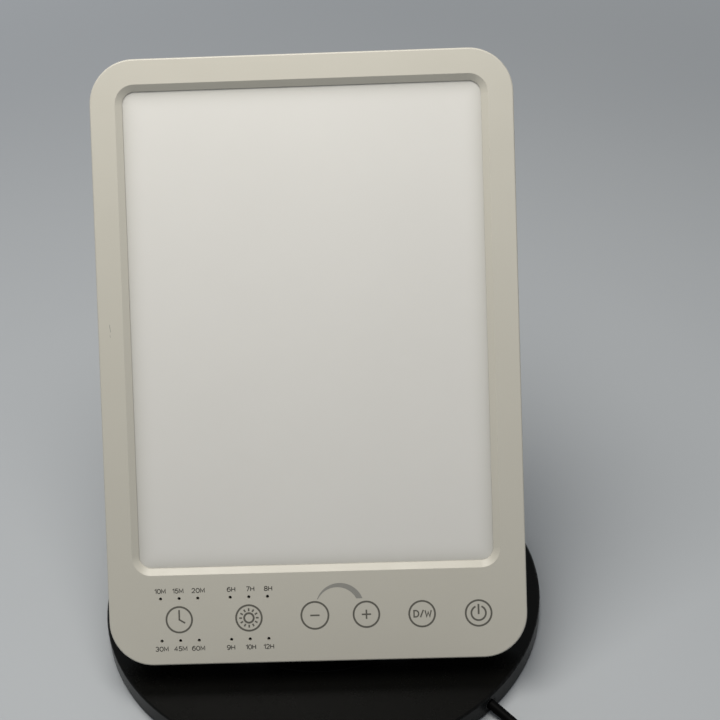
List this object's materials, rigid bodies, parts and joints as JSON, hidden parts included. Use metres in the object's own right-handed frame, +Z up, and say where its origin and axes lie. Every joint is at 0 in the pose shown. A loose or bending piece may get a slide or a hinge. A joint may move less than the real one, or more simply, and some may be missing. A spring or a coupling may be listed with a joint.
{
  "type": "light therapy lamp",
  "caption": "Flat rectangular light head with an opal window and touch keys, leaning back on a friction hinge over a round turntable base.",
  "frame": {"origin": "centre of the base's underside, on the surface that the lamp stands on", "axes": "+Z up, the lit face looks towards -Y and up, +X to the viewer's right"},
  "size_m": [0.2, 0.273, 0.2378],
  "materials": {
    "black_plastic": "satin moulded",
    "light_grey_plastic": "satin moulded",
    "zinc_steel": "zinc plated",
    "black_rubber": "matt",
    "black_cable": "satin",
    "white_acetal": "satin",
    "opal_acrylic": "matt opal",
    "clear_acrylic": "clear",
    "white_film": "matt",
    "aluminium": "mill",
    "white_board": "satin",
    "green_board": "satin",
    "dark_lamp": "gloss",
    "brass": "plated"
  },
  "bodies": {
    "base": {"base_cover": "black_plastic", "base_plate": "black_plastic", "base_screws": "zinc_steel", "foot_ring": "black_rubber", "ballast": "zinc_steel", "lead_bush": "black_rubber", "lead_clamp": "black_plastic", "clamp_screws": "zinc_steel", "base_lead": "black_cable", "thrust_washer": "white_acetal", "lead_tube": "black_cable", "lead_coil": "black_cable", "lead_end": "black_cable", "adapter": "black_plastic", "adapter_boot": "black_rubber", "adapter_blades": "brass"},
    "turntable": {"turntable": "black_plastic", "spring_washer": "zinc_steel", "hub_ring": "zinc_steel", "hub_screws": "zinc_steel", "pin_left": "zinc_steel", "pin_right": "zinc_steel", "pin_rings": "zinc_steel"},
    "head": {"front_frame": "light_grey_plastic", "diffuser": "opal_acrylic", "light_guide": "clear_acrylic", "reflector": "white_film", "heat_plate": "aluminium", "led_bar_left": "white_board", "led_bar_right": "white_board", "back_shell": "light_grey_plastic", "control_board": "green_board", "board_screws": "zinc_steel", "touch_springs": "zinc_steel", "indicator_lamps": "dark_lamp", "hinge_clip_left": "zinc_steel", "hinge_clip_right": "zinc_steel", "clip_screws": "zinc_steel", "shell_screws": "zinc_steel"}
  },
  "joints": [
    {"name": "swivel", "type": "hinge", "parent": "base", "child": "turntable", "pos_m": [0, 0, 0.01], "axis": [0, 0, 1], "range_deg": [-170, 170]},
    {"name": "tilt", "type": "hinge", "parent": "turntable", "child": "head", "pos_m": [0, -0.04112, 0.01954], "axis": [-1, 0, 0], "range_deg": [-28, 27]}
  ]
}
